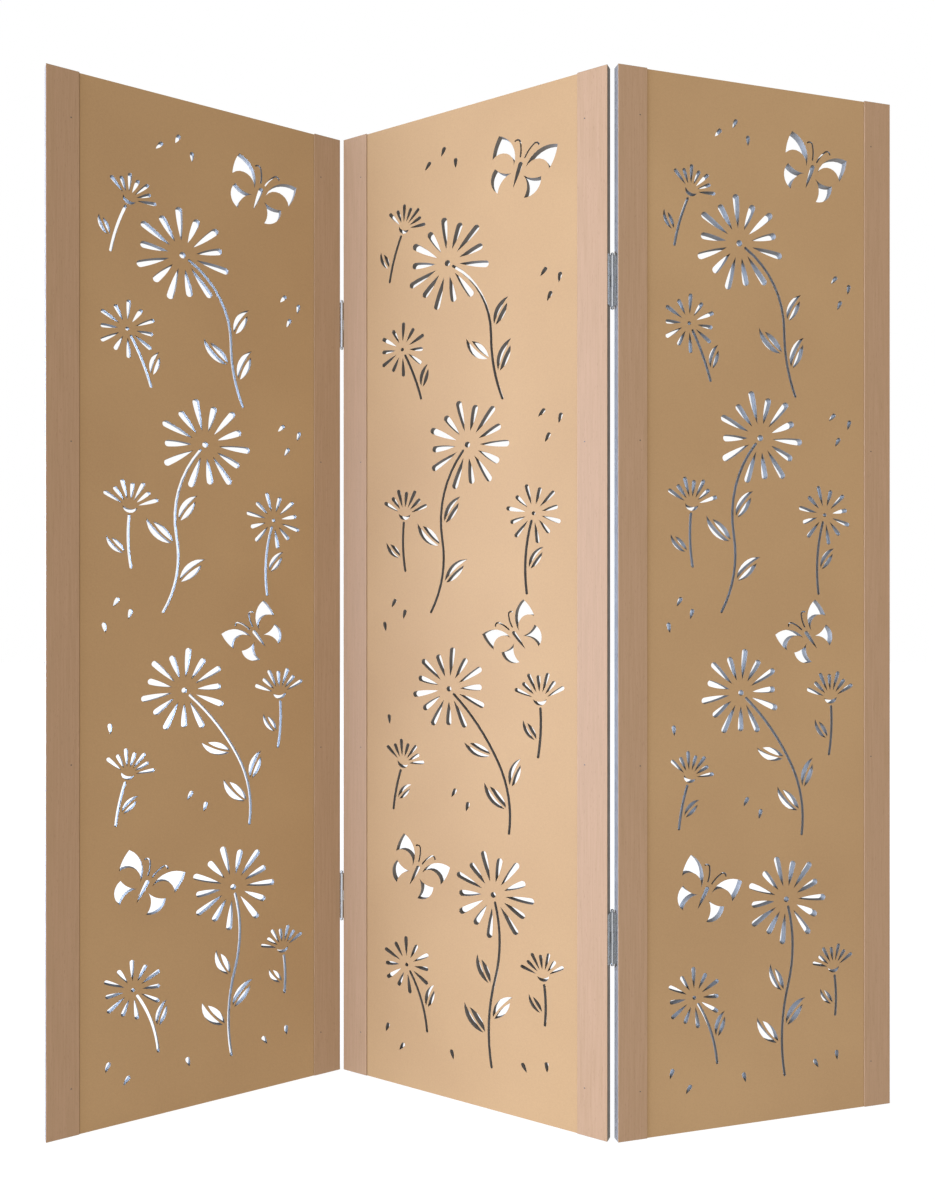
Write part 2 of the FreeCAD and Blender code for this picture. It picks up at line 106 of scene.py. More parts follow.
def tanFibreboard():
    look = fibreboard
    toneLow, toneHigh = look["toneSpan"]
    smooth, rough = look["roughness"]
    material, tree, surface, spot = startMaterial("tan lacquered MDF", IOR=1.47)
    cloud = addNode(tree, "ShaderNodeTexNoise", inputs={
        "Vector": spot, "Scale": 1 / look["cloud"], "Detail": 2})
    fleck = addNode(tree, "ShaderNodeTexNoise", inputs={
        "Vector": spot, "Scale": 1 / look["fleck"], "Detail": 4, "Roughness": 0.65})
    tone = addNode(tree, "ShaderNodeMix", {"data_type": "FLOAT"}, {
        0: look["fleckShare"], 2: cloud.outputs[0], 3: fleck.outputs[0]})
    spread = addNode(tree, "ShaderNodeMapRange", inputs={
        "Value": tone.outputs[0], "From Min": toneLow, "From Max": toneHigh})
    colour = addNode(tree, "ShaderNodeMix", {"data_type": "RGBA"}, {
        0: spread.outputs[0], 6: linear(look["dark"]), 7: linear(look["light"])})
    gloss = addNode(tree, "ShaderNodeMapRange", inputs={
        "Value": fleck.outputs[0], "From Min": noiseLow, "From Max": noiseHigh,
        "To Min": smooth, "To Max": rough})
    peel = addNode(tree, "ShaderNodeTexNoise", inputs={
        "Vector": spot, "Scale": 1 / look["peel"], "Detail": 2})
    bump = addNode(tree, "ShaderNodeBump", inputs={
        "Strength": 0.6, "Distance": look["peelHeight"], "Height": peel.outputs[0]})
    joinSurface(tree, surface, colour, gloss, bump)
    return material


# Beech, planed and lacquered: pinkish tan with straight upright grain and short darker ray flecks.
beech = {
    "planed": {"light": "A28060", "dark": "997856", "roughness": (0.6, 0.7)},
    "rubbed": {"light": "A38262", "dark": "9A7A58", "roughness": (0.56, 0.66)},  # lighter, smoother
    "fleckColour": "8A6A4B",
    "grain": (2.5 * mm, 90 * mm),  # width and length of the grain figure
    "fleck": (1.2 * mm, 9 * mm),  # rays are about 0.3 mm wide, drawn broader so that they show
    "fleckSpan": (0.62, 0.74),  # noise values at which a fleck starts and is full
    "fleckShare": 0.5,
    "poreHeight": 0.03 * mm,
}


def planedBeech(name, kind):
    look = beech[kind]
    smooth, rough = look["roughness"]
    grainWidth, grainLength = beech["grain"]
    fleckWidth, fleckLength = beech["fleck"]
    fleckStart, fleckFull = beech["fleckSpan"]
    material, tree, surface, spot = startMaterial(name, IOR=1.47)
    along = addNode(tree, "ShaderNodeMapping", {"vector_type": "POINT"}, {
        "Vector": spot, "Scale": (1 / grainWidth, 1 / grainWidth, 1 / grainLength)})
    grain = addNode(tree, "ShaderNodeTexNoise", inputs={
        "Vector": along.outputs[0], "Scale": 1, "Detail": 3, "Distortion": 0.4})
    short = addNode(tree, "ShaderNodeMapping", {"vector_type": "POINT"}, {
        "Vector": spot, "Scale": (1 / fleckWidth, 1 / fleckWidth, 1 / fleckLength)})
    ray = addNode(tree, "ShaderNodeTexNoise", inputs={
        "Vector": short.outputs[0], "Scale": 1, "Detail": 1})
    spread = addNode(tree, "ShaderNodeMapRange", inputs={
        "Value": grain.outputs[0], "From Min": noiseLow, "From Max": noiseHigh})
    body = addNode(tree, "ShaderNodeMix", {"data_type": "RGBA"}, {
        0: spread.outputs[0], 6: linear(look["dark"]), 7: linear(look["light"])})
    rayShare = addNode(tree, "ShaderNodeMapRange", inputs={
        "Value": ray.outputs[0], "From Min": fleckStart, "From Max": fleckFull,
        "To Max": beech["fleckShare"]})
    colour = addNode(tree, "ShaderNodeMix", {"data_type": "RGBA"}, {
        0: rayShare.outputs[0], 6: body.outputs[2], 7: linear(beech["fleckColour"])})
    gloss = addNode(tree, "ShaderNodeMapRange", inputs={
        "Value": grain.outputs[0], "From Min": noiseLow, "From Max": noiseHigh,
        "To Min": smooth, "To Max": rough})
    bump = addNode(tree, "ShaderNodeBump", inputs={
        "Strength": 0.5, "Distance": beech["poreHeight"], "Height": grain.outputs[0]})
    joinSurface(tree, surface, colour, gloss, bump)
    return material


# Grey lacquer on the sawn and routed edges: a warm matt grey, slightly patchy and stippled.
edgeLacquer = {
    "light": "7A736B",
    "dark": "6C655D",
    "stipple": 1.4 * mm,
    "patch": 40 * mm,
    "toneSpan": (0.35, 0.65),
    "roughness": (0.66, 0.78),
    "stippleHeight": 0.03 * mm,
}


def greyEdgeLacquer():
    look = edgeLacquer
    toneLow, toneHigh = look["toneSpan"]
    smooth, rough = look["roughness"]
    material, tree, surface, spot = startMaterial("grey edge lacquer", IOR=1.5)
    patch = addNode(tree, "ShaderNodeTexNoise", inputs={
        "Vector": spot, "Scale": 1 / look["patch"], "Detail": 5, "Roughness": 0.7})
    stipple = addNode(tree, "ShaderNodeTexNoise", inputs={
        "Vector": spot, "Scale": 1 / look["stipple"], "Detail": 2})
    spread = addNode(tree, "ShaderNodeMapRange", inputs={
        "Value": patch.outputs[0], "From Min": toneLow, "From Max": toneHigh})
    colour = addNode(tree, "ShaderNodeMix", {"data_type": "RGBA"}, {
        0: spread.outputs[0], 6: linear(look["dark"]), 7: linear(look["light"])})
    gloss = addNode(tree, "ShaderNodeMapRange", inputs={
        "Value": stipple.outputs[0], "From Min": noiseLow, "From Max": noiseHigh,
        "To Min": smooth, "To Max": rough})
    bump = addNode(tree, "ShaderNodeBump", inputs={
        "Strength": 0.5, "Distance": look["stippleHeight"], "Height": stipple.outputs[0]})
    joinSurface(tree, surface, colour, gloss, bump)
    return material


# Steel, zinc plated or bare: grey metal with fine rolling lines along its length.
plating = {
    "zinc": {"light": "C6C8CA", "dark": "AEB0B2", "roughness": (0.2, 0.3)},
    "bright zinc": {"light": "D2D1CA", "dark": "B4B3AC", "roughness": (0.2, 0.34)},
    "bare": {"light": "6E6A64", "dark": "4E4A45", "roughness": (0.4, 0.6)},
    "line": (0.4 * mm, 14 * mm),  # rolling lines are under 0.1 mm wide, drawn broader so that they show
    "lineHeight": 0.01 * mm,
}


def platedSteel(name, kind):
    look = plating[kind]
    smooth, rough = look["roughness"]
    lineWidth, lineLength = plating["line"]
    material, tree, surface, spot = startMaterial(name, Metallic=1.0)
    along = addNode(tree, "ShaderNodeMapping", {"vector_type": "POINT"}, {
        "Vector": spot, "Scale": (1 / lineWidth, 1 / lineWidth, 1 / lineLength)})
    line = addNode(tree, "ShaderNodeTexNoise", inputs={
        "Vector": along.outputs[0], "Scale": 1, "Detail": 3})
    spread = addNode(tree, "ShaderNodeMapRange", inputs={
        "Value": line.outputs[0], "From Min": noiseLow, "From Max": noiseHigh})
    colour = addNode(tree, "ShaderNodeMix", {"data_type": "RGBA"}, {
        0: spread.outputs[0], 6: linear(look["dark"]), 7: linear(look["light"])})
    gloss = addNode(tree, "ShaderNodeMapRange", inputs={
        "Value": line.outputs[0], "From Min": noiseLow, "From Max": noiseHigh,
        "To Min": smooth, "To Max": rough})
    bump = addNode(tree, "ShaderNodeBump", inputs={
        "Strength": 0.4, "Distance": plating["lineHeight"], "Height": line.outputs[0]})
    joinSurface(tree, surface, colour, gloss, bump)
    return material


boardFace = tanFibreboard()
stileFace = planedBeech("planed beech", "planed")
stileArris = planedBeech("rubbed beech edge", "rubbed")
cutEdge = greyEdgeLacquer()
hingeSteel = platedSteel("zinc plated steel", "zinc")
screwSteel = platedSteel("bright zinc plated steel", "bright zinc")
pinSteel = platedSteel("bare steel wire", "bare")
print("materials:", len(bpy.data.materials))


# Panels: their place in the zigzag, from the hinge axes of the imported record

panel = {
    "height": 1700 * mm,
    "width": 500 * mm,
    "thick": 15 * mm,
    "stileWidth": 50 * mm,
    "headings": {"left": 28.8, "middle": -28.4, "right": 13.9},  # degrees from the X axis
    "barrel": 6 * mm,  # hinge barrel, and so the gap between two panels that lie in line
    "axisOut": 1 * mm,  # hinge axis out from the faces that fold together
    "crease": 40,  # degrees past which an edge between two round faces stays sharp
}
slack = 0.01 * mm  # for edges and faces that are picked by their place
axes = {joint["name"]: Vector((*joint["pos_m"][:2], 0)) for joint in frame["joints"]}
# a point of each panel that lies on a hinge axis: X along the panel, Y from its front face
axisOnPanel = {
    "left": ("left_fold", Vector((panel["width"] + panel["barrel"] / 2, -panel["axisOut"], 0))),
    "middle": ("left_fold", Vector((-panel["barrel"] / 2, -panel["axisOut"], 0))),
    "right": ("right_fold", Vector((-panel["barrel"] / 2, panel["thick"] + panel["axisOut"], 0))),
}


def panelPlace(name):
    turn = Matrix.Rotation(math.radians(panel["headings"][name]), 4, "Z")
    joint, spot = axisOnPanel[name]
    return Matrix.Translation(axes[joint] - turn @ spot) @ turn


def isLevel(face):
    return abs(face.normal.z) > 0.5  # nearer to level than to upright


def addPiece(name, shape, materials, roundSlots, panelName, node):
    # the shape is built in its panel's own frame, and its place goes into the mesh
    bmesh.ops.transform(shape, matrix=panelPlace(panelName), verts=shape.verts)
    mesh = bpy.data.meshes.new(name)
    shape.to_mesh(mesh)
    shape.free()
    for material in materials:
        mesh.materials.append(material)
    mesh.set_sharp_from_angle(angle=math.radians(panel["crease"]))
    for face in mesh.polygons:  # the flat faces keep their own normal, and so an even tone
        face.use_smooth = face.material_index in roundSlots
    piece = bpy.data.objects.new(name, mesh)
    bpy.context.scene.collection.objects.link(piece)
    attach(piece, panelName + "_panel")
    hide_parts(node)


# Stiles: grooved strips with rounded long edges, painted on their outer edge and ends

stile = {
    "groove": 20 * mm,  # depth from the inner edge
    "grooveWidth": 5.2 * mm,
    "round": 0.6 * mm,
    "roundSteps": 3,
    "endEase": 0.3 * mm,
    "endSteps": 2,
    # places in the list of materials
    "face": 0,
    "paint": 1,
    "arris": 2,
}


def stileShape(side):
    breadth = panel["stileWidth"]
    thick = panel["thick"]
    lip = (thick - stile["grooveWidth"]) / 2
    floor = breadth - stile["groove"]
    section = [(0, 0), (breadth, 0), (breadth, lip), (floor, lip),
               (floor, thick - lip), (breadth, thick - lip), (breadth, thick), (0, thick)]
    shape = bmesh.new()
    foot = shape.faces.new([shape.verts.new((x, y, 0)) for x, y in section])
    raised = bmesh.ops.extrude_face_region(shape, geom=[foot], use_keep_orig=True)["geom"]
    top = [part for part in raised if isinstance(part, bmesh.types.BMVert)]
    bmesh.ops.translate(shape, verts=top, vec=(0, 0, panel["height"]))
    bmesh.ops.recalc_face_normals(shape, faces=shape.faces)
    faceEdges = []  # long edges of the front and back faces
    for edge in shape.edges:
        first, last = edge.verts
        upright = abs(first.co.z - last.co.z) > panel["height"] / 2
        if upright and abs(first.co.y - thick / 2) > thick / 2 - stile["round"]:
            faceEdges.append(edge)
    for face in shape.faces:
        painted = face.calc_center_median().x < slack or isLevel(face)
        face.material_index = stile["paint"] if painted else stile["face"]
    rounds = bmesh.ops.bevel(shape, geom=faceEdges, offset=stile["round"], offset_type="OFFSET",
                             segments=stile["roundSteps"], profile=0.5, affect="EDGES", material=-1)
    for face in rounds["faces"]:
        face.material_index = stile["arris"]
    endEdges = []  # round both ends, apart from the groove
    for edge in shape.edges:
        walls = [face for face in edge.link_faces if not isLevel(face)]
        if len(walls) == 1:
            middle = walls[0].calc_center_median()
            fromCentre = abs(middle.y - thick / 2)
            inGroove = middle.x > floor - slack and fromCentre < stile["grooveWidth"] / 2 + slack
            if not inGroove:
                endEdges.append(edge)
    eased = bmesh.ops.bevel(shape, geom=endEdges, offset=stile["endEase"], offset_type="OFFSET",
                            segments=stile["endSteps"], profile=0.5, affect="EDGES", material=-1)
    for face in eased["faces"]:
        face.material_index = stile["paint"]
    if side == "right":
        flip = Matrix.Translation((panel["width"], 0, 0)) @ Matrix.Diagonal((-1, 1, 1, 1))
        bmesh.ops.transform(shape, matrix=flip, verts=shape.verts)
    bmesh.ops.recalc_face_normals(shape, faces=shape.faces)
    return shape


for panelName in panel["headings"]:
    for side in ("left", "right"):
        node = "stile_%s_%s" % (panelName, side)
        addPiece("grooved_" + node, stileShape(side), [stileFace, cutEdge, stileArris],
                 {stile["arris"]}, panelName, node)
print("stiles: 6")


# Panel pins: small flat heads driven through the stiles into the boards

pin = {
    "count": 4,
    "fromEnd": 76 * mm,
    "fromInnerEdge": 12.5 * mm,
    "head": 2.2 * mm,
    "headDepth": 0.5 * mm,
    "proud": 0.12 * mm,  # how far the head stands out of the wood
    "rimEase": 0.12 * mm,
    "rimSteps": 2,
    "shank": 1.4 * mm,
    "length": 11 * mm,
    "sides": 16,
    "steel": 0,  # place in the list of materials
}


def pinsShape(side):
    inset = panel["stileWidth"] - pin["fromInnerEdge"]
    x = inset if side == "left" else panel["width"] - inset
    pitch = (panel["height"] - 2 * pin["fromEnd"]) / (pin["count"] - 1)
    turned = Matrix.Rotation(math.radians(-90), 4, "X")  # a pin's length runs into the panel
    shape = bmesh.new()
    for number in range(pin["count"]):
        spot = Matrix.Translation((x, -pin["proud"], pin["fromEnd"] + number * pitch)) @ turned
        depth = pin["headDepth"] + pin["proud"]
        head = bmesh.ops.create_cone(
            shape, cap_ends=True, segments=pin["sides"], radius1=pin["head"] / 2,
            radius2=pin["head"] / 2, depth=depth,
            matrix=spot @ Matrix.Translation((0, 0, depth / 2)))["verts"]
        edges = dict.fromkeys(edge for vert in head for edge in vert.link_edges)
        rim = [edge for edge in edges
               if all(abs(end.co.y + pin["proud"]) < slack for end in edge.verts)]
        bmesh.ops.bevel(shape, geom=rim, offset=pin["rimEase"], offset_type="OFFSET",
                        segments=pin["rimSteps"], profile=0.5, affect="EDGES", material=-1)
        reach = pin["length"] - pin["headDepth"]
        bmesh.ops.create_cone(
            shape, cap_ends=True, segments=pin["sides"], radius1=pin["shank"] / 2,
            radius2=pin["shank"] / 2, depth=reach,
            matrix=spot @ Matrix.Translation((0, 0, depth + reach / 2)))
    bmesh.ops.recalc_face_normals(shape, faces=shape.faces)
    return shape


for panelName in panel["headings"]:
    for side in ("left", "right"):
        node = "nails_%s_%s" % (panelName, side)
        addPiece("driven_" + node, pinsShape(side), [pinSteel],
                 {pin["steel"]}, panelName, node)
print("panel pins:", pin["count"], "in each stile")


# Pierced boards: a flat curve of the board's outline and all its openings
# An opening is a closed row of sides. Each has its start, and its bulge over half its chord,
# which counts to the left of its course.

fret = {
    "thick": 12 * mm,
    "short": 1 * mm,  # top of the board below the tops of its stiles
    "shoulder": 0.3 * mm,  # gap between the board and a stile
    "tongue": 19 * mm,  # reach of the board's tongues into the stiles
    "tongueThick": 5 * mm,
    "face": 0,  # places in the list of materials
    "wall": 1,
    "curveSteps": 8,  # straight pieces in each arc
    "weld": 0.002 * mm,  # joins the faces and the walls at their shared rims
    "stemSlit": 4.5 * mm,
    "feelerSlit": 2.6 * mm,
    "leafVein": 3.6 * mm,
    "leafStand": 8 * mm,
    "bloomStand": 13 * mm,
    "leafLean": 38,  # degrees from the stem
    "dropLength": 17 * mm,
    "dropWidth": 7 * mm,
    "petalBow": 0.125,  # bulge of a petal's sides over its breadth
    # shares of a leaf's length
    "leftLobe": 0.22,
    "rightLobe": -0.12,
    "veinBend": 0.05,
    "rightLength": 0.8,
    # shares of a bloom's radius
    "petalStart": 0.3,
    "petalBreadth": 0.14,
    "shortPetal": 0.87,
    "eye": 0.065,
    "cupHalf": 0.25,
    "cupAhead": 0.05,
    "cupDepth": -0.22,
    "cupHollow": -0.09,
}
quarter = math.tan(math.pi / 8)  # bulge over half chord of a quarter circle


def stepFrom(start, heading, ahead, left=0.0):
    course = math.radians(heading)
    forward = Vector((math.cos(course), math.sin(course)))
    return start + ahead * forward + left * forward.orthogonal()


def bow(start, end, bulge):
    return (start, 2 * bulge / (end - start).length)


def dot(middle, radius):
    return [(stepFrom(middle, heading, radius), -quarter) for heading in (0, 90, 180, 270)]


def petal(hub, heading, inner, outer, breadth):
    # pointed towards the hub, round at the far end
    half = breadth / 2
    tip = stepFrom(hub, heading, inner)
    right = stepFrom(hub, heading, outer - half, -half)
    left = stepFrom(hub, heading, outer - half, half)
    crown = stepFrom(hub, heading, outer)
    swell = -fret["petalBow"] * breadth
    return [bow(tip, right, swell), (right, -quarter), (crown, -quarter), bow(left, tip, swell)]


def crescent(start, end, outer, inner):
    return [bow(start, end, outer), bow(end, start, -inner)]


def leaf(base, heading, length):
    # two lobes along a bent vein, the right one shorter
    lobes = []
    for side, share, lobe in ((1, 1, fret["leftLobe"]), (-1, fret["rightLength"], fret["rightLobe"])):
        aside = side * fret["leafVein"] / 2
        lobeBase = stepFrom(base, heading, 0, aside)
        lobeTip = stepFrom(base, heading, share * length, aside)
        lobes.append(crescent(lobeBase, lobeTip, lobe * length, fret["veinBend"] * length))
    return lobes


def walk(start, heading, bends, distance):
    # point and heading after a distance along the bends, each a length and a turn
    for length, turn in bends:
        part = min(distance, length)
        if part <= 0:
            break
        halfTurn = math.radians(turn * part / length) / 2
        start = stepFrom(start, heading + math.degrees(halfTurn), part * math.sin(halfTurn) / halfTurn)
        heading = heading + math.degrees(2 * halfTurn)
        distance = distance - part
    return start, heading


def slit(foot, heading, bends, breadth):
    # a cut of even breadth along the bends, with round ends
    half = breadth / 2
    rightSide, leftSide = [], []
    travelled = 0
    for length, turn in bends:
        bend = math.tan(math.radians(turn) / 4)
        near, nearCourse = walk(foot, heading, bends, travelled)
        travelled = travelled + length
        far, farCourse = walk(foot, heading, bends, travelled)
        rightSide.append((stepFrom(near, nearCourse, 0, -half), -bend))
        leftSide.insert(0, (stepFrom(far, farCourse, 0, half), bend))
    endCap = [stepFrom(far, farCourse, 0, -half), stepFrom(far, farCourse, half)]
    footCap = [stepFrom(foot, heading, 0, half), stepFrom(foot, heading, -half)]
    return (rightSide + [(corner, -quarter) for corner in endCap]
            + leftSide + [(corner, -quarter) for corner in footCap])


def bloom(hub, heading, radius, petals, fan):
    # long and short petals by turns over the fan, round a pierced eye or above a cup
    cuts = []
    for number in range(petals):
        direction = heading + fan * (number / (petals - 1) - 0.5)
        reach = radius * (fret["shortPetal"] if number % 2 else 1)
        start = fret["petalStart"] * radius
        cuts.append(petal(hub, direction, start, reach, fret["petalBreadth"] * radius))
    if fan > 180:
        cuts.append(dot(hub, fret["eye"] * radius))
    else:
        cupLeft = stepFrom(hub, heading, fret["cupAhead"] * radius, fret["cupHalf"] * radius)
        cupRight = stepFrom(hub, heading, fret["cupAhead"] * radius, -fret["cupHalf"] * radius)
        cuts.append(crescent(cupLeft, cupRight, fret["cupDepth"] * radius, fret["cupHollow"] * radius))
    return cuts


def plant(foot, heading, bends, radius, kind, leaves):
    cuts = [slit(foot, heading, bends, fret["stemSlit"])]
    total = sum(length for length, turn in bends)
    for share, side, length in leaves:
        point, course = walk(foot, heading, bends, share * total)
        base = stepFrom(point, course, 0, side * fret["leafStand"])
        cuts.extend(leaf(base, course + side * fret["leafLean"], length))
    end, course = walk(foot, heading, bends, total)
    return cuts + bloom(stepFrom(end, course, fret["bloomStand"]), course, radius, *kind)


# shares of a butterfly's span, as ahead and aside of its middle
moth = {
    "tail": -0.2,
    "bodyLength": 0.34,
    "bodyBreadth": 0.06,
    "wings": [  # three corners, and the bulge of the side after each
        ([(0.08, 0.09), (0.42, 0.44), (0.11, 0.43)], (0.1, 0.02, -0.12)),
        ([(-0.02, 0.09), (0.0, 0.35), (-0.3, 0.2)], (-0.03, 0.08, -0.05)),
    ],
    "feelerRoot": (0.2, 0.035),
    "feelerLean": 8,  # degrees
    "feelerBends": [(0.2, 25), (0.09, 120)],
}


def butterfly(middle, heading, span):
    tail = stepFrom(middle, heading, moth["tail"] * span)
    cuts = [petal(tail, heading, 0, moth["bodyLength"] * span, moth["bodyBreadth"] * span)]
    for side in (1, -1):
        def spot(place):
            return stepFrom(middle, heading, place[0] * span, side * place[1] * span)

        for places, bulges in moth["wings"]:
            corners = [spot(place) for place in places + places[:1]]
            cuts.append([bow(start, end, -side * bulge * span)
                         for start, end, bulge in zip(corners, corners[1:], bulges)])
        bends = [(share * span, side * turn) for share, turn in moth["feelerBends"]]
        course = heading + side * moth["feelerLean"]
        cuts.append(slit(spot(moth["feelerRoot"]), course, bends, fret["feelerSlit"]))
    return cuts


def at(shareX, shareZ):
    # a place on the clear board between the stiles
    field = panel["width"] - 2 * panel["stileWidth"]
    return Vector((panel["stileWidth"] + shareX * field, shareZ * panel["height"]))


# number of petals and the degrees that they fan over
daisy = (13, 318)
smallDaisy = (11, 310)
sideBloom = (7, 130)
design = {
    # foot, heading, bends in mm and degrees, radius in mm, bloom
    # and leaves: share of the stem, side, length in mm
    "plants": [
        ((0.62, 0.042), 100, [(150, -25), (130, 30)], 74, daisy,
         [(0.2, 1, 58), (0.3, -1, 54), (0.5, 1, 50)]),
        ((0.31, 0.062), 95, [(105, 28)], 50, smallDaisy, [(0.4, -1, 42)]),
        ((0.86, 0.095), 84, [(65, 14)], 42, sideBloom, [(0.3, 1, 34)]),
        ((0.7, 0.275), 82, [(120, 35), (140, 20)], 72, daisy,
         [(0.16, 1, 56), (0.3, -1, 50), (0.53, 1, 52)]),
        ((0.83, 0.352), 80, [(80, 14)], 48, sideBloom, [(0.35, 1, 38)]),
        ((0.14, 0.287), 84, [(70, -12)], 44, sideBloom, [(0.3, -1, 36)]),
        ((0.33, 0.492), 60, [(130, 40), (160, -50)], 78, daisy,
         [(0.2, -1, 56), (0.42, 1, 58), (0.55, -1, 52)]),
        ((0.78, 0.51), 98, [(120, -24)], 50, smallDaisy, [(0.35, -1, 42)]),
        ((0.2, 0.535), 100, [(85, -16)], 48, sideBloom, [(0.3, 1, 38)]),
        ((0.67, 0.702), 112, [(110, -22), (155, 58)], 80, daisy,
         [(0.18, -1, 56), (0.28, 1, 56), (0.48, -1, 50)]),
        ((0.28, 0.712), 106, [(85, 12)], 48, smallDaisy, [(0.22, -1, 40)]),
        ((0.12, 0.838), 80, [(80, -14)], 44, sideBloom, [(0.3, 1, 34)]),
    ],
    # middle, heading, span in mm
    "butterflies": [((0.25, 0.222), 62, 118), ((0.74, 0.466), 128, 108), ((0.74, 0.92), 70, 126)],
    # pointed end, heading
    "drops": [
        ((0.1, 0.052), 70), ((0.17, 0.036), 55), ((0.44, 0.04), 105), ((0.78, 0.045), 120),
        ((0.87, 0.05), 95), ((0.5, 0.292), 75), ((0.43, 0.305), 60), ((0.12, 0.375), 95),
        ((0.1, 0.472), 100), ((0.19, 0.485), 75), ((0.13, 0.497), 60), ((0.86, 0.655), 60),
        ((0.92, 0.672), 75), ((0.83, 0.68), 45), ((0.87, 0.79), 65), ((0.92, 0.806), 80),
        ((0.84, 0.815), 50), ((0.3, 0.945), 50), ((0.38, 0.955), 65), ((0.45, 0.94), 90),
    ],
}


def allOpenings():
    cuts = []
    for foot, heading, bends, radius, kind, leaves in design["plants"]:
        bends = [(length * mm, turn) for length, turn in bends]
        leaves = [(share, side, length * mm) for share, side, length in leaves]
        cuts.extend(plant(at(*foot), heading, bends, radius * mm, kind, leaves))
    for middle, heading, span in design["butterflies"]:
        cuts.extend(butterfly(at(*middle), heading, span * mm))
    for base, heading in design["drops"]:
        cuts.append(petal(at(*base), heading, 0, fret["dropLength"], fret["dropWidth"]))
    return cuts


def addOutline(curve, sides):
    # every side is an arc, drawn as one Bezier stretch with handles a third of the arc long
    spline = curve.splines.new("BEZIER")
    spline.bezier_points.add(len(sides) - 1)
    spline.use_cyclic_u = True
    for knot, side in zip(spline.bezier_points, sides):
        knot.co = side[0].to_3d()
        knot.handle_left_type = "FREE"
        knot.handle_right_type = "FREE"
    for number, (start, share) in enumerate(sides):
        following = (number + 1) % len(sides)
        end = sides[following][0]
        reach = (end - start) * (1 + share * share) / 3
        lean = Matrix.Rotation(2 * math.atan(share), 2)
        spline.bezier_points[number].handle_right = (start + lean @ reach).to_3d()
        spline.bezier_points[following].handle_left = (end - lean.inverted() @ reach).to_3d()


def addTongue(shape, x, outward):
    # cuts the long side of the board into three strips, and draws the middle one out
    def onSide():
        return [face for face in shape.faces
                if all(abs(vert.co.x - x) < slack for vert in face.verts)]

    half = fret["tongueThick"] / 2
    for level in (-half, half):
        faces = onSide()
        edges = dict.fromkeys(edge for face in faces for edge in face.edges)
        verts = dict.fromkeys(vert for face in faces for vert in face.verts)
        bmesh.ops.bisect_plane(shape, geom=[*faces, *edges, *verts],
                               plane_co=(0, 0, level), plane_no=(0, 0, 1))
    strip = [face for face in onSide() if abs(face.calc_center_median().z) < half]
    drawn = bmesh.ops.extrude_face_region(shape, geom=strip)["geom"]
    bmesh.ops.delete(shape, geom=strip, context="FACES_ONLY")  # or they would stay inside the board
    ends = [part for part in drawn if isinstance(part, bmesh.types.BMVert)]
    reach = fret["tongue"] + fret["shoulder"]
    bmesh.ops.translate(shape, verts=ends, vec=(outward * reach, 0, 0))


def boardShape(cuts):
    low = panel["stileWidth"] + fret["shoulder"]
    high = panel["width"] - low
    top = panel["height"] - fret["short"]
    corners = [(low, 0), (high, 0), (high, top), (low, top)]
    flat = bpy.data.curves.new("fretwork", "CURVE")
    flat.dimensions = "2D"
    flat.fill_mode = "BOTH"
    flat.resolution_u = fret["curveSteps"]
    flat.extrude = fret["thick"] / 2
    rim = flat.splines.new("POLY")
    rim.points.add(len(corners) - 1)
    rim.use_cyclic_u = True
    for point, corner in zip(rim.points, corners):
        point.co = (*corner, 0, 1)
    for sides in cuts:
        addOutline(flat, sides)
    holder = bpy.data.objects.new("fretwork", flat)
    sheet = bpy.data.meshes.new_from_object(holder)
    bpy.data.objects.remove(holder)
    shape = bmesh.new()
    shape.from_mesh(sheet)
    bpy.data.meshes.remove(sheet)
    bmesh.ops.remove_doubles(shape, verts=shape.verts, dist=fret["weld"])
    for x, outward in ((low, -1), (high, 1)):
        addTongue(shape, x, outward)
    bmesh.ops.recalc_face_normals(shape, faces=shape.faces)
    for face in shape.faces:
        face.material_index = fret["face"] if isLevel(face) else fret["wall"]
    upright = Matrix.Rotation(math.radians(90), 4, "X")
    centred = Matrix.Translation((0, panel["thick"] / 2, 0))
    bmesh.ops.transform(shape, matrix=centred @ upright, verts=shape.verts)
    return shape


cuts = allOpenings()
for panelName in panel["headings"]:
    node = "board_" + panelName
    addPiece("pierced_" + node, boardShape(cuts), [boardFace, cutEdge],
             {fret["wall"]}, panelName, node)
print("boards: 3, with", len(cuts), "openings each")


# Hinges and their screws keep their CAD shape

for name, node in frame["nodes"].items():
    if name.startswith("hinge"):
        node.data.materials[0] = screwSteel if "screws" in name else hingeSteel
print("hinges: 4")


# Stage: white floor, white surroundings and softboxes at the left, in front and behind

stage = {
    "floorSize": 30,  # metres
    "floorColour": "606060",
    "floorRoughness": 0.9,
    "floorGloss": 0.1,
    "floorGlow": 0.93,  # white acrylic lit from below, on which shadows stay faint
    "white": "FFFFFF",
    "frontLight": 1.45,  # soft light from the front and the left
    "backLight": 0.28,
    "backward": (0.75, 0.66, 0),  # direction in which the soft light fades
    "fadeSpan": (-0.4, 0.4),  # shares of that direction over which it fades
    "leftLight": "E4EEFF",  # cool like a window
    "rightLight": "FFF6EA",
    "softboxes": {  # place, width and height, power, colour
        "key": ((-5.65, -2.17, 0.95), (3.1, 1.85), 800, "C4D6FF"),
        "rear": ((-5.4, 4.5, 0.95), (4.4, 1.9), 1400, "B8D5FF"),
    },
    "aim": (0, 0, 0.85),
}


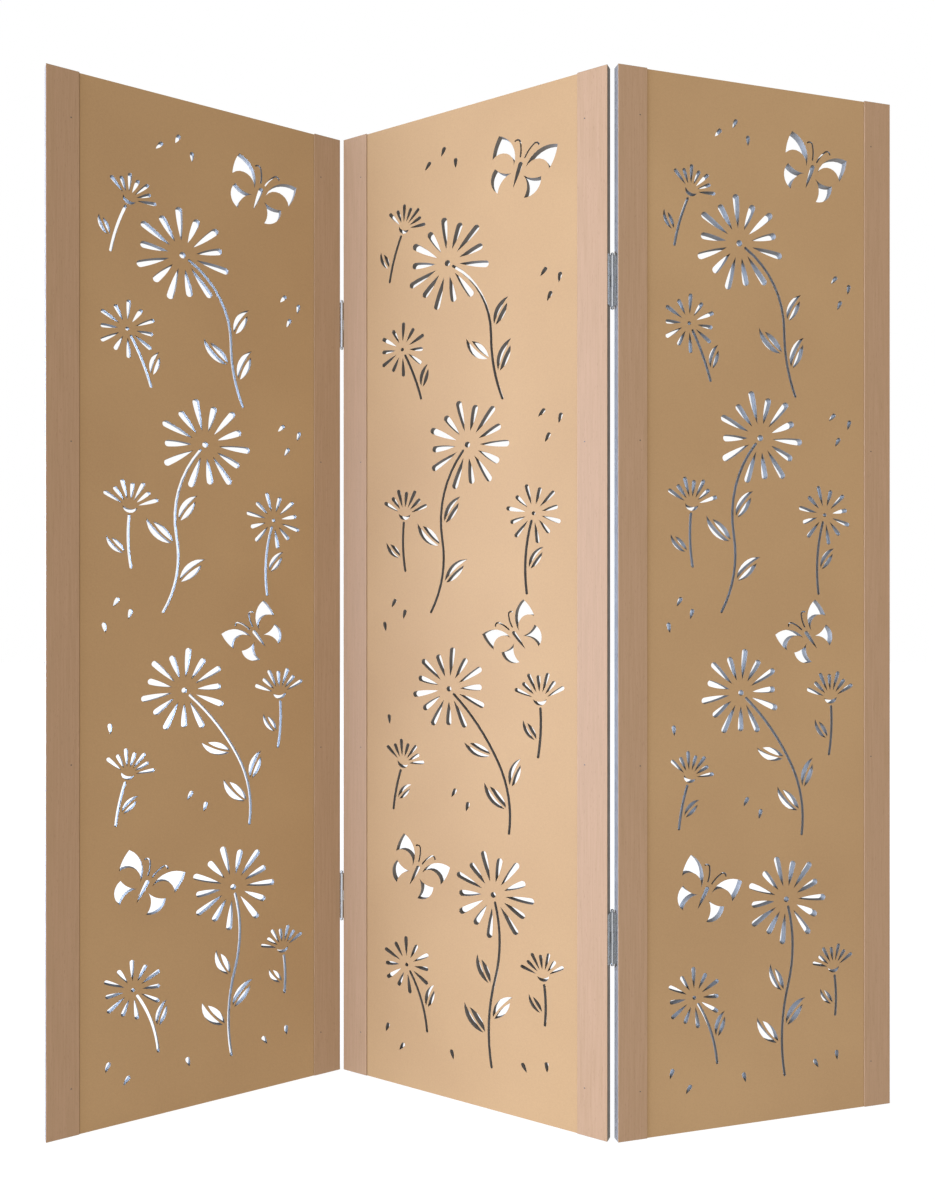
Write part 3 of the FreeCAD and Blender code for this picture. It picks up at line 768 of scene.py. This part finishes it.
def addStage():
    scene = bpy.context.scene
    scene.view_settings.view_transform = "Standard"
    ground = bmesh.new()
    bmesh.ops.create_grid(ground, x_segments=4, y_segments=4, size=stage["floorSize"] / 2)
    mesh = bpy.data.meshes.new("floor")
    ground.to_mesh(mesh)
    ground.free()
    acrylic = {
        "Base Color": linear(stage["floorColour"]),
        "Roughness": stage["floorRoughness"],
        "Specular IOR Level": stage["floorGloss"],
        "Emission Color": linear(stage["white"]),
        "Emission Strength": stage["floorGlow"],
    }
    mesh.materials.append(startMaterial("white acrylic floor", **acrylic)[0])
    floor = bpy.data.objects.new("floor", mesh)
    scene.collection.objects.link(floor)

    # the backdrop is seen as white, while the light that it gives is stronger from the front
    world = bpy.data.worlds.new("white surroundings")
    world.use_nodes = True
    tree = world.node_tree
    tree.nodes.clear()
    fadeStart, fadeEnd = stage["fadeSpan"]
    direction = addNode(tree, "ShaderNodeTexCoord").outputs["Generated"]
    depth = addNode(tree, "ShaderNodeVectorMath", {"operation": "DOT_PRODUCT"}, {
        0: direction, 1: stage["backward"]})
    strength = addNode(tree, "ShaderNodeMapRange", {"interpolation_type": "SMOOTHSTEP"}, {
        "Value": depth.outputs["Value"], "From Min": fadeStart, "From Max": fadeEnd,
        "To Min": stage["frontLight"], "To Max": stage["backLight"]})
    toRight = addNode(tree, "ShaderNodeSeparateXYZ", inputs={"Vector": direction}).outputs["X"]
    side = addNode(tree, "ShaderNodeMapRange", inputs={
        "Value": toRight, "From Min": -1.0, "From Max": 1.0})
    tint = addNode(tree, "ShaderNodeMix", {"data_type": "RGBA"}, {
        0: side.outputs[0], 6: linear(stage["leftLight"]), 7: linear(stage["rightLight"])})
    soft = addNode(tree, "ShaderNodeBackground", inputs={
        "Color": tint.outputs[2], "Strength": strength.outputs[0]})
    backdrop = addNode(tree, "ShaderNodeBackground", inputs={
        "Color": linear(stage["white"]), "Strength": 1.0})
    seen = addNode(tree, "ShaderNodeLightPath").outputs["Is Camera Ray"]
    both = addNode(tree, "ShaderNodeMixShader", inputs={
        0: seen, 1: soft.outputs[0], 2: backdrop.outputs[0]})
    addNode(tree, "ShaderNodeOutputWorld", inputs={"Surface": both.outputs[0]})
    scene.world = world

    for name, (spot, size, power, colour) in stage["softboxes"].items():
        light = bpy.data.lights.new(name + " softbox", "AREA")
        light.shape = "RECTANGLE"
        light.size, light.size_y = size
        light.energy = power
        light.color = linear(colour)[:3]
        lamp = bpy.data.objects.new(name + " softbox", light)
        lamp.location = spot
        beam = Vector(stage["aim"]) - Vector(spot)
        lamp.rotation_euler = beam.to_track_quat("-Z", "Y").to_euler()
        scene.collection.objects.link(lamp)


addStage()
print("stage set")


# Camera: level, at about half the screen's height, fitted to the photograph

view = {
    "eye": (-0.0727, -1.6102, 0.830),
    "level": 90,  # degrees up from looking down at the floor
    "lens": 28.27,  # mm, as is the sensor
    "sensor": 36,
    "shift": (0.0247, 0.0131),
}
camera = bpy.data.cameras.new("camera")
camera.lens = view["lens"]
camera.sensor_width = view["sensor"]
camera.shift_x, camera.shift_y = view["shift"]
eye = bpy.data.objects.new("camera", camera)
eye.location = view["eye"]
eye.rotation_euler = (math.radians(view["level"]), 0, 0)
bpy.context.scene.collection.objects.link(eye)
bpy.context.scene.camera = eye
print("camera set")
